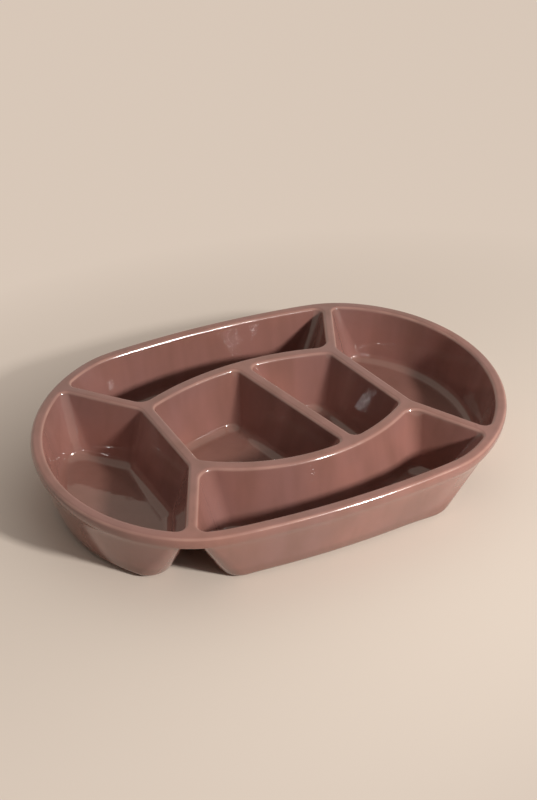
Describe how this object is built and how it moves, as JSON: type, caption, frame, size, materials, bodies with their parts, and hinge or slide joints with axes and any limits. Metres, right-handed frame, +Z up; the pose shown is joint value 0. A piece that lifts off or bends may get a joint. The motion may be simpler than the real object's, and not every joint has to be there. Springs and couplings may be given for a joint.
{
  "type": "divided snack platter",
  "caption": "Oval glazed stoneware platter with a rounded rim and deep snack wells parted by raised dividers.",
  "frame": {"origin": "middle of the platter in plan, on the surface that it stands on", "axes": "+X along the length, +Y across towards the back, +Z up through the open wells"},
  "size_m": [0.33, 0.227, 0.049],
  "materials": {
    "glazed_stoneware": "high-gloss mauve-brown glaze that thins to a lighter tan brown on the lips and edges"
  },
  "bodies": {
    "root": {"rim_band": "glazed_stoneware", "divider_web": "glazed_stoneware", "left_end_well": "glazed_stoneware", "right_end_well": "glazed_stoneware", "back_well": "glazed_stoneware", "front_well": "glazed_stoneware", "centre_left_well": "glazed_stoneware", "centre_right_well": "glazed_stoneware"}
  },
  "joints": []
}
